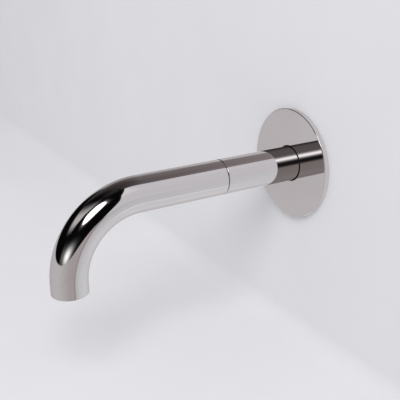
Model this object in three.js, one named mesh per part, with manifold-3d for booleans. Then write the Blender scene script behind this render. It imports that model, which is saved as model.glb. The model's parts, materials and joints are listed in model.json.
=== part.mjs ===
// Wall-mounted bath spout: a slim round tube that leaves the wall through a flat round flange, turns down
// through a quarter bend, and ends in a recessed aerator. It comes apart at a fine seam, where the front
// tube swivels on a brass spigot.
//
// Millimetres, +Z up. The origin is on the tube's axis at the finished wall face, the wall fills +Y, and
// the spout points along -Y. Places along the tube are distances from the wall face, and places in the
// outlet are heights above its rim.
import * as THREE from "three";
import { mergeVertices } from "three/addons/utils/BufferGeometryUtils.js";
import Module from "manifold-3d";

const wasm = await Module();
wasm.setup();

// Driving dimensions.
const TUBE_R = 12.5; // outside radius of the whole visible tube
const TUBE_BORE = TUBE_R - 1.5;
const REACH = 177.5; // wall face to the outlet's axis
const BEND_R = 4 * TUBE_R; // centreline radius of the quarter bend
const DROP = 7.5; // straight tube below the bend
const SEAM = 64; // wall face to the middle of the swivel seam
const SEAM_GAP = 0.8; // width of the groove between the two tubes
const SWIVEL_DEG = 30; // how far the front tube turns each way
const BEND_START = REACH - BEND_R;
const OUTLET_DEPTH = BEND_R + DROP; // the tube's axis down to the outlet's rim

// Fits.
const AIR = 0.3; // between faces that meet
const SLIP = 0.1; // on the radius, between nested fixed pieces
const RUN = 0.15; // on the radius, between a bore and what turns or slides in it
const EDGE = 0.3; // chamfer on a visible edge
const LEAD_IN = 0.4; // chamfer at the mouth of a bore

// Wall flange and what lies behind it.
const FLANGE = { radius: 40, face: 4, edge: 0.4, bore: TUBE_R + 0.75, lip: 1, seat: TUBE_R + 1.7 };
const RECESS = { inner: 16.6, outer: 38, depth: 2 };
const SEAL_BACK = 1;
const GASKET = { inner: RECESS.inner + AIR, outer: RECESS.outer - AIR, front: RECESS.depth - 0.2 };

// Inlet nipple: a G 1/2 thread behind the wall, a stop collar, and a smooth shank that enters the sleeve.
const THREAD = { major: 20.955 / 2, minor: 18.631 / 2, pitch: 1.814, start: -18, end: -4.5 };
const COLLAR = { radius: 13, back: -2.5, gasket: 1.5 };
const SHANK = { radius: 9, end: 36, chamfer: 0.8 };
const WATERWAY_R = 6;
const HEX_KEY = { across: 13, depth: 6 }; // the key that turns the nipple and the spigot
const CLAMP_GROOVE = { mouth: 3.5, floor: 1.5, depth: 1 }; // V groove for the sleeve's grub screw

// O-rings and their grooves.
const RING_SECTION = 0.85;
const RING_GROOVE = { bottom: 7.3, width: 2.6, clearance: 0.1 };
const NIPPLE_RINGS = [18.8, 23.3];
const SPIGOT_RINGS = [78.7, 83.7];
const TAIL_RING = { at: 53.2, depth: 1.7 };

// Sleeve: the fixed rear tube.
const SLEEVE = { start: AIR, end: SEAM - SEAM_GAP / 2, bore: SHANK.radius + RUN, front: 9.6 };
const LEDGE = { from: 38, to: 50, bore: 8 };
const GRUB = { at: 11, hole: 2.5, length: 3.9, key: 2.5, tip: 0.7, cone: 1.5 };

// Swivel spigot: screwed into the sleeve, and carrying the front tube.
const SPIGOT = { start: LEDGE.to + 0.4, tail: SLEEVE.front - 2 * SLIP, journal: 8.95, end: 92 };
const SHOULDER = { radius: 10.6, from: SLEEVE.end + AIR, to: 65.4 };
const GLIDE = { at: [67.75, 89.25], inner: 8.5, outer: 9.1, width: 3.1, groove: 8.4 };
const HUB = { start: 65.9, end: 93, bore: 9.2, outer: TUBE_BORE - SLIP };
const LOCK = { at: 73.5, hole: 2.05, length: 4.2, key: 2, point: 1.3, pointLength: 1.4 };
const LOCK_SLOT = { bottom: 7.6, halfWidth: 1.6, spareDeg: 1.5 };

// Outlet, as heights above the rim.
const INSERT = { low: 0.6, top: 11, step: 7.2, thread: 9.3, ledge: 9, ledgeBore: 7.8 };
const CAGE = { low: 1.3, top: 8, radius: 9.1, bore: 7.6, lip: 6.9, lipTop: 2.1 };
const KEY_SLOT = { width: 2.2, height: 1.1, depth: 1.9, count: 4 };
const DISC_R = 7.4; // the plates that lie in the cage
const GRID = { low: 2.4, high: 4.2, pitch: 2.5, across: 2.05, reach: 6.2 };
const MIXER = { low: 4.5, high: 6.2, hole: 0.95, rings: [[12, 5.9], [6, 3.2]] };
const JETS = { low: 6.5, high: 7.1, hole: 0.5, rings: [[14, 5.6], [7, 3.4]] };
const JET_RIM = { inner: 6.5, low: 6.9, high: 7.7 };
const SIEVE = { rim: 7.9, dome: 8.3, radius: 6.5, rise: 2.6, skin: 0.35, steps: 5 };

// Facets round a full circle, and steps round the bend.
const FINE = 36;
const MEDIUM = 32;
const COARSE = 20;
const FLANGE_FACETS = 56;
const BEND_STEPS = 12;

const chrome = new THREE.MeshStandardMaterial({ color: 0xb5aeae, metalness: 1, roughness: 0.04 });
const brass = new THREE.MeshStandardMaterial({ color: 0xc4a05a, metalness: 1, roughness: 0.3 });
const steel = new THREE.MeshStandardMaterial({ color: 0x9fa2a4, metalness: 1, roughness: 0.28 });
const rubber = new THREE.MeshStandardMaterial({ color: 0x151515, metalness: 0, roughness: 0.75 });
const foam = new THREE.MeshStandardMaterial({ color: 0x3a3a3c, metalness: 0, roughness: 0.95 });
const acetal = new THREE.MeshStandardMaterial({ color: 0xe9e8e2, metalness: 0, roughness: 0.4 });
const darkAcetal = new THREE.MeshStandardMaterial({ color: 0x1b1b1d, metalness: 0, roughness: 0.45 });

// ---------------------------------------------------------------- solids

// A geometry's triangles as a manifold solid with its faces pointing out.
function toSolid(geometry) {
  const bare = new THREE.BufferGeometry().setAttribute("position", geometry.getAttribute("position"));
  if (geometry.index) bare.setIndex(geometry.index);
  const merged = mergeVertices(bare, 1e-4);
  const triVerts = new Uint32Array(merged.index.array);
  const vertProperties = merged.getAttribute("position").array;
  const solid = new wasm.Manifold(new wasm.Mesh({ numProp: 3, vertProperties, triVerts }));
  if (solid.volume() > 0) return solid;
  for (let i = 0; i < triVerts.length; i += 3) {
    [triVerts[i + 1], triVerts[i + 2]] = [triVerts[i + 2], triVerts[i + 1]];
  }
  return new wasm.Manifold(new wasm.Mesh({ numProp: 3, vertProperties, triVerts }));
}

function toGeometry(solid) {
  const mesh = solid.getMesh();
  const points = new Float32Array(mesh.numVert * 3);
  for (let i = 0; i < mesh.numVert; i++) {
    points.set(mesh.vertProperties.subarray(i * mesh.numProp, i * mesh.numProp + 3), i * 3);
  }
  const shared = new THREE.BufferGeometry()
    .setAttribute("position", new THREE.BufferAttribute(points, 3))
    .setIndex(new THREE.BufferAttribute(mesh.triVerts, 1));
  const flat = shared.toNonIndexed();
  flat.computeVertexNormals();
  return flat;
}

const lathe = (points, facets) =>
  toSolid(new THREE.LatheGeometry(points.map(([radius, along]) => new THREE.Vector2(radius, along)), facets));

// A ring about the local Y axis, from a closed outline of [radius, height] pairs.
const turned = (outline, facets = COARSE) => lathe([...outline, outline[0]], facets);

// A solid of revolution about the local Y axis: the outline ends on the axis, and starts there level with
// its first point.
const turnedSolid = (outline, facets = COARSE) => lathe([[0, outline[0][1]], ...outline], facets);

const pipe = (inner, outer, low, high, facets) =>
  turned([[inner, low], [outer, low], [outer, high], [inner, high]], facets);

function rod(radius, low, high, facets = COARSE) {
  const cylinder = new THREE.CylinderGeometry(radius, radius, high - low, facets);
  return toSolid(cylinder.translate(0, (low + high) / 2, 0));
}

// A prism along the local Y axis.
function prism(shape, low, high, curveSegments = 10) {
  const geometry = new THREE.ExtrudeGeometry(shape, { depth: high - low, bevelEnabled: false, curveSegments });
  return toSolid(geometry.rotateX(-Math.PI / 2).translate(0, low, 0));
}

function polygon(sides, circumradius, x = 0, y = 0, turn = 0) {
  return Array.from({ length: sides }, (_, i) => {
    const angle = turn + (2 * Math.PI * i) / sides;
    return new THREE.Vector2(x + circumradius * Math.cos(angle), y + circumradius * Math.sin(angle));
  });
}

const hexPrism = (acrossFlats, low, high) =>
  prism(new THREE.Shape(polygon(6, acrossFlats / 2 / Math.cos(Math.PI / 6))), low, high);

// A round drill that enters from below and stops at a given depth below the axis.
function drillFromBelow(radius, at, stop) {
  const start = TUBE_R + 2;
  const drill = new THREE.CylinderGeometry(radius, radius, start - stop, COARSE).rotateX(Math.PI / 2);
  return toSolid(drill.translate(0, at, -(start + stop) / 2));
}

// An O-ring in a groove whose bottom has the given radius.
function ringSeal(grooveBottom, at) {
  const middle = grooveBottom + RING_GROOVE.clearance + RING_SECTION;
  return turned(polygon(6, RING_SECTION, middle, at).map((corner) => [corner.x, corner.y]));
}

// The outline of a square groove, in the direction of growing height.
const groove = (surface, bottom, at, width) => [
  [surface, at - width / 2],
  [bottom, at - width / 2],
  [bottom, at + width / 2],
  [surface, at + width / 2],
];

// A right-hand external thread about the local Y axis, between two heights. Its root, crest and flanks are
// four rows of points per turn that follow the helix, and it is cut square at its ends, with a chamfer
// where it starts.
function threadedRod({ major, minor, pitch, start, end }, facets = 18) {
  const rows = [[minor, 0], [major, 0.3], [major, 0.5], [minor, 0.8]];
  const turns = Math.ceil((end - start) / pitch) + 3;
  const first = start - 1.5 * pitch;
  const points = [];
  for (let row = 0; row <= rows.length * turns; row++) {
    const [radius, share] = rows[row % rows.length];
    const rise = first + pitch * (Math.floor(row / rows.length) + share);
    for (let i = 0; i < facets; i++) {
      const angle = (2 * Math.PI * i) / facets;
      points.push(radius * Math.sin(angle), rise + (pitch * i) / facets, radius * Math.cos(angle));
    }
  }
  // A row's last point is the first point of the row one turn on.
  const at = (row, i) => (i < facets ? row * facets + i : (row + rows.length) * facets);
  const last = rows.length * (turns - 1);
  const triangles = [];
  for (let row = 0; row < last; row++) {
    for (let i = 0; i < facets; i++) {
      triangles.push(at(row, i), at(row, i + 1), at(row + 1, i));
      triangles.push(at(row, i + 1), at(row + 1, i + 1), at(row + 1, i));
    }
  }
  // Each end closes with a fan from the axis to the helical edge and the step where it starts again.
  for (const [row, height, isTop] of [[0, first - pitch, false], [last, first + pitch * (turns + 1), true]]) {
    const centre = points.length / 3;
    points.push(0, height, 0);
    const loop = [];
    for (let i = 0; i <= facets; i++) loop.push(at(row, i));
    for (let step = rows.length - 1; step >= 0; step--) loop.push(at(row + step, 0));
    for (let i = 0; i + 1 < loop.length; i++) {
      triangles.push(...(isTop ? [centre, loop[i], loop[i + 1]] : [centre, loop[i + 1], loop[i]]));
    }
  }
  const helix = new THREE.BufferGeometry()
    .setAttribute("position", new THREE.BufferAttribute(new Float32Array(points), 3))
    .setIndex(triangles);
  const outside = major + SLIP;
  const blank = [[minor, start], [outside, start + outside - minor], [outside, end], [0, end]];
  return toSolid(helix).intersect(turnedSolid(blank, facets));
}

// A grub screw along the local Y axis, with its tip at height 0 and its socket up.
function grubScrew(radius, tip, length, key) {
  const blank = turnedSolid([...tip, [radius, length - EDGE], [radius - EDGE, length], [0, length]]);
  return blank.subtract(hexPrism(key, length / 2, length + 1));
}

// ---------------------------------------------------------------- wall side

function wallNipple() {
  const { mouth, floor, depth } = CLAMP_GROOVE;
  const body = turnedSolid([
    [THREAD.minor, THREAD.end - 0.5],
    [THREAD.minor, COLLAR.back],
    [COLLAR.radius, COLLAR.back],
    [COLLAR.radius, 0],
    [SHANK.radius, 0],
    [SHANK.radius, GRUB.at - mouth / 2],
    [SHANK.radius - depth, GRUB.at - floor / 2],
    [SHANK.radius - depth, GRUB.at + floor / 2],
    [SHANK.radius, GRUB.at + mouth / 2],
    ...NIPPLE_RINGS.flatMap((at) => groove(SHANK.radius, RING_GROOVE.bottom, at, RING_GROOVE.width)),
    [SHANK.radius, SHANK.end - SHANK.chamfer],
    [SHANK.radius - SHANK.chamfer, SHANK.end],
    [0, SHANK.end],
  ]);
  return body
    .add(threadedRod(THREAD))
    .subtract(rod(WATERWAY_R, THREAD.start - 1, SHANK.end + 1, 24))
    .subtract(hexPrism(HEX_KEY.across, SHANK.end - HEX_KEY.depth, SHANK.end + 1));
}

function nippleGasket() {
  const front = COLLAR.back - AIR;
  return pipe(THREAD.major + 0.25, COLLAR.radius - 0.2, front - COLLAR.gasket, front);
}

function rearSleeve() {
  const sleeve = turned(
    [
      [SLEEVE.bore + LEAD_IN, SLEEVE.start],
      [TUBE_R - EDGE, SLEEVE.start],
      [TUBE_R, SLEEVE.start + EDGE],
      [TUBE_R, SLEEVE.end - EDGE],
      [TUBE_R - EDGE, SLEEVE.end],
      [SLEEVE.front, SLEEVE.end],
      [SLEEVE.front, LEDGE.to],
      [LEDGE.bore, LEDGE.to],
      [LEDGE.bore, LEDGE.from],
      [SLEEVE.bore, LEDGE.from],
      [SLEEVE.bore, SLEEVE.start + LEAD_IN],
    ],
    FINE,
  );
  return sleeve.subtract(drillFromBelow(GRUB.hole, GRUB.at, SHANK.radius - 0.5));
}

function sleeveGrubScrew() {
  const radius = GRUB.hole - SLIP;
  return grubScrew(radius, [[GRUB.tip, 0], [radius, GRUB.cone]], GRUB.length, GRUB.key);
}

function swivelSpigot() {
  const { tail, journal } = SPIGOT;
  const glide = (at) => groove(journal, GLIDE.groove, at, GLIDE.width + 0.4);
  const body = turnedSolid([
    [tail - LEAD_IN, SPIGOT.start],
    [tail, SPIGOT.start + LEAD_IN],
    ...groove(tail, tail - TAIL_RING.depth, TAIL_RING.at, RING_GROOVE.width),
    [tail, SHOULDER.from],
    [SHOULDER.radius, SHOULDER.from],
    [SHOULDER.radius, SHOULDER.to],
    [journal, SHOULDER.to],
    ...glide(GLIDE.at[0]),
    ...SPIGOT_RINGS.flatMap((at) => groove(journal, RING_GROOVE.bottom, at, RING_GROOVE.width)),
    ...glide(GLIDE.at[1]),
    [journal - LEAD_IN, SPIGOT.end],
    [0, SPIGOT.end],
  ]);
  return body
    .subtract(rod(WATERWAY_R, SPIGOT.start - 1, SPIGOT.end + 1, 24))
    .subtract(hexPrism(HEX_KEY.across, SPIGOT.end - HEX_KEY.depth, SPIGOT.end + 1))
    .subtract(lockingSlot());
}

// The arc slot under the spigot. The locking screw's point runs in it and stops at its ends.
function lockingSlot() {
  const { bottom, halfWidth, spareDeg } = LOCK_SLOT;
  const half = THREE.MathUtils.degToRad(SWIVEL_DEG + spareDeg) + Math.asin(LOCK.point / bottom);
  const arc = new THREE.Shape()
    .absarc(0, 0, SPIGOT.journal + 1, Math.PI / 2 - half, Math.PI / 2 + half, false)
    .absarc(0, 0, bottom, Math.PI / 2 + half, Math.PI / 2 - half, true);
  return prism(arc, LOCK.at - halfWidth, LOCK.at + halfWidth);
}

// A glide ring is split, so that it can be sprung into its groove.
function glideRing(at) {
  const ring = pipe(GLIDE.inner, GLIDE.outer, at - GLIDE.width / 2, at + GLIDE.width / 2, MEDIUM);
  const split = new THREE.BoxGeometry(0.8, GLIDE.width + 1, 3).translate(0, at, GLIDE.outer);
  return ring.subtract(toSolid(split));
}

const seamWasher = () => pipe(SHOULDER.radius + 0.2, TUBE_R - 0.5, SEAM - 0.2, SEAM + 0.2, FINE);

// ---------------------------------------------------------------- flange

function wallFlange() {
  const { radius, face, edge, bore, lip, seat } = FLANGE;
  return turned(
    [
      [bore, face],
      [bore, face - lip],
      [seat, face - lip],
      [seat, AIR],
      [RECESS.inner, AIR],
      [RECESS.inner, RECESS.depth],
      [RECESS.outer, RECESS.depth],
      [RECESS.outer, AIR],
      [radius, AIR],
      [radius, face - edge],
      [radius - edge * 0.3, face - edge * 0.3],
      [radius - edge, face],
    ],
    FLANGE_FACETS,
  );
}

// A rubber ring behind the flange's lip, with a narrow lip of its own that shows round the tube.
function flangeSeal() {
  const inner = TUBE_R + RUN;
  const shoulder = FLANGE.face - FLANGE.lip - RUN;
  const front = FLANGE.face - 0.25;
  return turned(
    [
      [inner, SEAL_BACK],
      [FLANGE.seat - SLIP, SEAL_BACK],
      [FLANGE.seat - SLIP, shoulder],
      [FLANGE.bore - SLIP, shoulder],
      [FLANGE.bore - SLIP, front],
      [inner, front],
    ],
    FINE,
  );
}

const flangeGasket = () => pipe(GASKET.inner, GASKET.outer, 0, GASKET.front, FINE);

// ---------------------------------------------------------------- front tube

// The tube's centreline: a straight run out from the wall, a quarter bend down, and a short drop. The
// straight stretches take one step each, and the bend takes the rest.
class SpoutLine extends THREE.Curve {
  constructor(start) {
    super();
    this.start = start;
    this.steps = BEND_STEPS + 2;
  }

  // How far a step is along the run, round the bend and down the drop.
  place(t) {
    const step = t * this.steps;
    return {
      run: THREE.MathUtils.lerp(this.start, BEND_START, Math.min(step, 1)),
      angle: (THREE.MathUtils.clamp(step - 1, 0, BEND_STEPS) / BEND_STEPS) * (Math.PI / 2),
      drop: Math.max(0, step - BEND_STEPS - 1) * DROP,
    };
  }

  getPointAt(t) {
    const { run, angle, drop } = this.place(t);
    return new THREE.Vector3(0, run + BEND_R * Math.sin(angle), -BEND_R * (1 - Math.cos(angle)) - drop);
  }

  getTangentAt(t) {
    const { angle } = this.place(t);
    return new THREE.Vector3(0, Math.cos(angle), -Math.sin(angle));
  }
}

function spoutTube() {
  const section = new THREE.Shape().absarc(0, 0, TUBE_R, 0, 2 * Math.PI);
  section.holes.push(new THREE.Path().absarc(0, 0, TUBE_BORE, 0, 2 * Math.PI, true));
  const extrudePath = new SpoutLine(SEAM + SEAM_GAP / 2);
  // A full circle gets two points per curve segment.
  const options = { steps: extrudePath.steps, extrudePath, curveSegments: FINE / 2 };
  const blank = toSolid(new THREE.ExtrudeGeometry(section, options));
  return blank.subtract(drillFromBelow(LOCK.hole + RUN, LOCK.at, HUB.bore));
}

function spoutHub() {
  const { start, end, bore, outer } = HUB;
  const hub = turned(
    [
      [bore + LEAD_IN, start],
      [outer - EDGE, start],
      [outer, start + EDGE],
      [outer, end - 1],
      [outer - 1, end],
      [bore, end],
      [bore, start + LEAD_IN],
    ],
    MEDIUM,
  );
  return hub.subtract(drillFromBelow(LOCK.hole, LOCK.at, SPIGOT.journal - 1));
}

function lockingScrew() {
  const { hole, point, pointLength, length, key } = LOCK;
  const radius = hole - SLIP;
  return grubScrew(radius, [[point, 0], [point, pointLength], [radius, pointLength + 0.2]], length, key);
}

// ---------------------------------------------------------------- outlet

function outletInsert() {
  const outer = TUBE_BORE - SLIP;
  return turned(
    [
      [INSERT.thread + LEAD_IN, INSERT.low],
      [outer, INSERT.low],
      [outer, INSERT.step - LEAD_IN],
      [outer - LEAD_IN, INSERT.step],
      [outer - LEAD_IN, INSERT.top],
      [INSERT.ledgeBore, INSERT.top],
      [INSERT.ledgeBore, INSERT.ledge],
      [INSERT.thread, INSERT.ledge],
      [INSERT.thread, INSERT.low + LEAD_IN],
    ],
    MEDIUM,
  );
}

const aeratorSeal = () => pipe(INSERT.ledgeBore + SLIP, CAGE.radius, CAGE.top + 0.2, INSERT.ledge - 0.2);

// The screwed cage, with slots in its rim for the key.
function aeratorHousing() {
  const { low, top, radius, bore, lip, lipTop } = CAGE;
  const cage = turned(
    [
      [lip, low],
      [radius - LEAD_IN, low],
      [radius, low + LEAD_IN],
      [radius, top - EDGE],
      [radius - EDGE, top],
      [bore, top],
      [bore, lipTop],
      [lip, lipTop],
    ],
    MEDIUM,
  );
  const { width, height, depth, count } = KEY_SLOT;
  const slots = Array.from({ length: count }, (_, i) => {
    const slot = new THREE.BoxGeometry(width, 2 * height, depth).translate(0, low, radius);
    return toSolid(slot.rotateY(((i + 0.5) * 2 * Math.PI) / count));
  });
  return slots.reduce((left, slot) => left.subtract(slot), cage);
}

// A round plate with holes through it.
function piercedPlate({ low, high }, holes) {
  const shape = new THREE.Shape(polygon(COARSE, DISC_R));
  shape.holes = holes.map((corners) => new THREE.Path(corners));
  return prism(shape, low, high);
}

function honeycomb({ pitch, across, reach }) {
  const span = Math.ceil(reach / pitch) + 1;
  const cells = [];
  for (let row = -span; row <= span; row++) {
    for (let column = -span; column <= span; column++) {
      const x = pitch * (column + (row % 2 ? 0.5 : 0));
      const y = (pitch * row * Math.sqrt(3)) / 2;
      if (Math.hypot(x, y) < reach) cells.push(polygon(6, across / Math.sqrt(3), x, y, Math.PI / 6));
    }
  }
  return cells;
}

const ringsOfHoles = ({ hole, rings }) =>
  rings.flatMap(([count, radius]) => polygon(count, radius).map(({ x, y }) => polygon(6, hole, x, y)));

const jetPlate = () =>
  piercedPlate(JETS, ringsOfHoles(JETS)).add(pipe(JET_RIM.inner, DISC_R, JET_RIM.low, JET_RIM.high));

// The dirt sieve: a shallow dome on a flat rim.
function domeSieve() {
  const { rim, dome, radius, rise, skin, steps } = SIEVE;
  const arc = (across, up) =>
    Array.from({ length: steps + 1 }, (_, i) => {
      const angle = (i * Math.PI) / 2 / steps;
      return [i < steps ? across * Math.cos(angle) : 0, dome + up * Math.sin(angle)];
    });
  const inside = arc(radius - skin, rise - skin).reverse();
  return lathe([...inside, [radius - skin, rim], [DISC_R, rim], [DISC_R, dome], ...arc(radius, rise)], COARSE);
}

// ---------------------------------------------------------------- assembly

function piece(parent, name, solid, material) {
  const mesh = new THREE.Mesh(toGeometry(solid), material);
  mesh.name = name;
  parent.add(mesh);
  return mesh;
}

// Rings that come in pairs are named for their places, from the wall out.
const pair = (parent, name, makers, material) =>
  ["rear", "front"].forEach((place, i) => piece(parent, `${name}_${place}`, makers[i], material));

// A screw that stands below the axis with its socket down.
function placeScrew(screw, at, tipDepth) {
  screw.position.set(0, at, -tipDepth);
  screw.rotation.x = -Math.PI / 2;
}

// What lies along the tube is drawn with its own +Y running out from the wall.
const spout = new THREE.Group();
const fixed = new THREE.Group();
fixed.rotation.z = Math.PI;
spout.add(fixed);

piece(fixed, "wall_nipple", wallNipple(), brass);
piece(fixed, "nipple_gasket", nippleGasket(), rubber);
pair(fixed, "nipple_o_ring", NIPPLE_RINGS.map((at) => ringSeal(RING_GROOVE.bottom, at)), rubber);
piece(fixed, "rear_sleeve", rearSleeve(), chrome);
placeScrew(piece(fixed, "sleeve_grub_screw", sleeveGrubScrew(), steel), GRUB.at, SHANK.radius - 0.6);
piece(fixed, "swivel_spigot", swivelSpigot(), brass);
piece(fixed, "spigot_tail_o_ring", ringSeal(SPIGOT.tail - TAIL_RING.depth, TAIL_RING.at), rubber);
pair(fixed, "spigot_o_ring", SPIGOT_RINGS.map((at) => ringSeal(RING_GROOVE.bottom, at)), rubber);
pair(fixed, "glide_ring", GLIDE.at.map(glideRing), acetal);
piece(fixed, "seam_washer", seamWasher(), darkAcetal);

const flange = new THREE.Group();
fixed.add(flange);
piece(flange, "wall_flange", wallFlange(), chrome);
piece(flange, "flange_seal", flangeSeal(), rubber);
piece(flange, "flange_gasket", flangeGasket(), foam);

const front = new THREE.Group();
fixed.add(front);
piece(front, "spout_tube", spoutTube(), chrome);
piece(front, "spout_hub", spoutHub(), brass);
placeScrew(piece(front, "locking_screw", lockingScrew(), steel), LOCK.at, LOCK_SLOT.bottom + 0.4);

// The outlet's own +Y runs up from its rim.
const outlet = new THREE.Group();
outlet.position.set(0, REACH, -OUTLET_DEPTH);
outlet.rotation.x = Math.PI / 2;
front.add(outlet);
piece(outlet, "outlet_insert", outletInsert(), chrome);
piece(outlet, "aerator_seal", aeratorSeal(), rubber);
piece(outlet, "aerator_housing", aeratorHousing(), acetal);
piece(outlet, "outlet_grid", piercedPlate(GRID, honeycomb(GRID)), acetal);
piece(outlet, "mixer_ring", piercedPlate(MIXER, ringsOfHoles(MIXER)), darkAcetal);
piece(outlet, "jet_plate", jetPlate(), acetal);
piece(outlet, "dome_sieve", domeSieve(), steel);

export default spout;
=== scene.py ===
"""A wall-mounted bath spout in polished chrome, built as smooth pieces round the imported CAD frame.

Lengths are millimetres until a mesh is made. A place along the tube is its distance from the wall face,
followed round the bend on the centreline. A place in the outlet is its height above the rim. An outline
is a list of (radius, place, fillet) corners, anticlockwise with the radius to the right.
"""

import json
import math

import bpy
import numpy as np
from mathutils import Matrix, Vector

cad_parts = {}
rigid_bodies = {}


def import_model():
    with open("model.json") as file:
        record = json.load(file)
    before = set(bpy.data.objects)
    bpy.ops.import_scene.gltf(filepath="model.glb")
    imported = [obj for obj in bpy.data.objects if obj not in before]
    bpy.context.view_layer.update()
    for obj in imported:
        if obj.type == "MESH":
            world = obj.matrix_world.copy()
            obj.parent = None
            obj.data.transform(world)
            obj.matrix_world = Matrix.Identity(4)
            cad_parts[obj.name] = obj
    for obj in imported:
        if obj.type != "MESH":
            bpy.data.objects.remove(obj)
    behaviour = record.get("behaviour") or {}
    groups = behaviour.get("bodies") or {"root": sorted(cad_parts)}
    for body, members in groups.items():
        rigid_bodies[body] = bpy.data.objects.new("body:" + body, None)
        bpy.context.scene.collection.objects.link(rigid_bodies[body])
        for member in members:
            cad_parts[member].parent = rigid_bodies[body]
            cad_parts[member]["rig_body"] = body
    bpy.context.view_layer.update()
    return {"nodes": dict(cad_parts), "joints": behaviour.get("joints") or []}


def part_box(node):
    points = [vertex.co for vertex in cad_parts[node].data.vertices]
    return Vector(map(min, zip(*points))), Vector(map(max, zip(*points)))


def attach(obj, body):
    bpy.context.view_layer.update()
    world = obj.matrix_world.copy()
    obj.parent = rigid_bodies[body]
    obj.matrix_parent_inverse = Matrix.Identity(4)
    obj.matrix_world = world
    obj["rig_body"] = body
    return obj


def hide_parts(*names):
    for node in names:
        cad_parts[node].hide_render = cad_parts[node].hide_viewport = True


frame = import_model()

MM = 0.001
X, Y, Z = np.eye(3)


def reach(node, axis):
    """How far a CAD node reaches along an axis, as its low and high ends."""
    low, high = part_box(node)
    index = int(np.argmax(axis))
    return low[index] / MM, high[index] / MM


def radius(node):
    return reach(node, X)[1]


def run(node):
    """Where a node on the tube's axis starts and ends, from the wall face."""
    low, high = reach(node, Y)
    return -high, -low


# The tube's centreline.
TUBE_R = radius("spout_tube")
WALL = 1.5
BORE = TUBE_R - WALL
DEPTH = -reach("spout_tube", Z)[0]
REACH = -reach("spout_tube", Y)[0] - TUBE_R
BEND_R = 4 * TUBE_R
BEND_START = REACH - BEND_R
BEND_END = BEND_START + BEND_R * math.pi / 2
TUBE_END = BEND_END + DEPTH - BEND_R


def heights(node):
    """Where a node in the outlet starts and ends, above the rim."""
    low, high = reach(node, Z)
    return low + DEPTH, high + DEPTH


# Fineness of the meshes. Points that are closer than SAME are one point.
AROUND = 192
COARSE = 96
TUBE_ROWS = 1.6
ROWS_PER_THREAD = 12
FILLET_STEP = math.radians(15)
SHARP = math.radians(30)
SAME = 1e-6

# How far a cutting solid runs on past what it cuts.
PAST = 1

# ---- placing


def on_axis(along):
    """The tube's cross-section at a place along it: its centre, two axes across it and its direction."""
    angle = min(max((along - BEND_START) / BEND_R, 0), math.pi / 2)
    sine, cosine = math.sin(angle), math.cos(angle)
    out = min(along, BEND_START) + BEND_R * sine
    down = BEND_R * (1 - cosine) + max(0, along - BEND_END)
    return np.array((0, -out, -down)), X, np.array((0, -sine, cosine)), np.array((0, -cosine, -sine))


def in_outlet(height):
    return np.array((0, -REACH, height - DEPTH)), X, Y, Z


def under_tube(along, tip):
    """For what stands below the tube's axis with its tip up: heights count down from the tip."""

    def place(height):
        return np.array((0, -along, tip - height)), X, -Y, -Z

    return place


# ---- outlines


def unit(vector):
    """The vector's direction, one unit long."""
    return vector / np.linalg.norm(vector)


def outward(direction):
    """An outline's normal on its outer side."""
    return np.array((direction[1], -direction[0]))


def round_corner(before, corner, after, fillet):
    """The rows that turn one corner: a point, with the normals just before and just after it."""
    into, out = unit(corner - before), unit(after - corner)
    turn = math.atan2(into[0] * out[1] - into[1] * out[0], into @ out)
    if not fillet:
        return [(corner, outward(into), outward(out))]
    side = math.copysign(1, turn)
    start = corner - into * fillet * math.tan(abs(turn) / 2)
    centre = start - side * fillet * outward(into)
    steps = max(2, math.ceil(abs(turn) / FILLET_STEP))
    rows = []
    for step in range(steps + 1):
        angle = turn * step / steps
        sine, cosine = math.sin(angle), math.cos(angle)
        normal = np.array(((cosine, -sine), (sine, cosine))) @ outward(into)
        rows.append((centre + side * fillet * normal, normal, normal))
    return rows


def outline_rows(corners, spacing):
    """All the rows of a closed outline, with straight stretches cut up at a spacing."""
    points = [np.array(corner[:2], float) for corner in corners]
    rows = []
    for i, corner in enumerate(corners):
        fillet = corner[2] if len(corner) > 2 else 0
        for row in round_corner(points[i - 1], points[i], points[(i + 1) % len(points)], fillet):
            if not rows or np.abs(row[0] - rows[-1][0]).max() > SAME:
                rows.append(row)
    if np.abs(rows[0][0] - rows[-1][0]).max() < SAME:
        rows.pop()
    if not spacing:
        return rows
    cut = []
    for row, following in zip(rows, rows[1:] + rows[:1]):
        cut.append(row)
        start, end, normal = row[0], following[0], row[2]
        pieces = math.ceil(abs(end[1] - start[1]) / spacing)
        cut += [(start + (end - start) * i / pieces, normal, normal) for i in range(1, pieces)]
    return cut


def ring_outline(inner, outer, low, high, fillet):
    """A rectangle in section, with its four corners rounded alike."""
    return [(inner, low, fillet), (outer, low, fillet), (outer, high, fillet), (inner, high, fillet)]


def smooth_step(value, low, high):
    share = np.clip((value - low) / (high - low), 0, 1)
    return share * share * (3 - 2 * share)


class Thread:
    """A helical groove cut from one radius to another over a stretch of an outline's surface."""

    # The flank lies between these shares of the half pitch. On either side are the crest and the root.
    FLANK = (0.15, 0.85)
    ON_SURFACE = 1e-3

    def __init__(self, surface, root, pitch, start, end):
        self.surface, self.root, self.pitch, self.start, self.end = surface, root, pitch, start, end

    def covers(self, row_radius, place):
        return abs(row_radius - self.surface) < self.ON_SURFACE and self.start < place < self.end

    def radii(self, place, turns):
        phase = np.mod(place / self.pitch - turns / (2 * math.pi), 1)
        depth = smooth_step(np.abs(2 * phase - 1), *self.FLANK)
        fade = smooth_step(place, self.start, self.start + self.pitch)
        fade *= 1 - smooth_step(place, self.end - self.pitch, self.end)
        return self.surface + (self.root - self.surface) * depth * fade


# ---- meshes


def add_object(name, data):
    obj = bpy.data.objects.new(name, data)
    bpy.context.scene.collection.objects.link(obj)
    return obj


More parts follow.
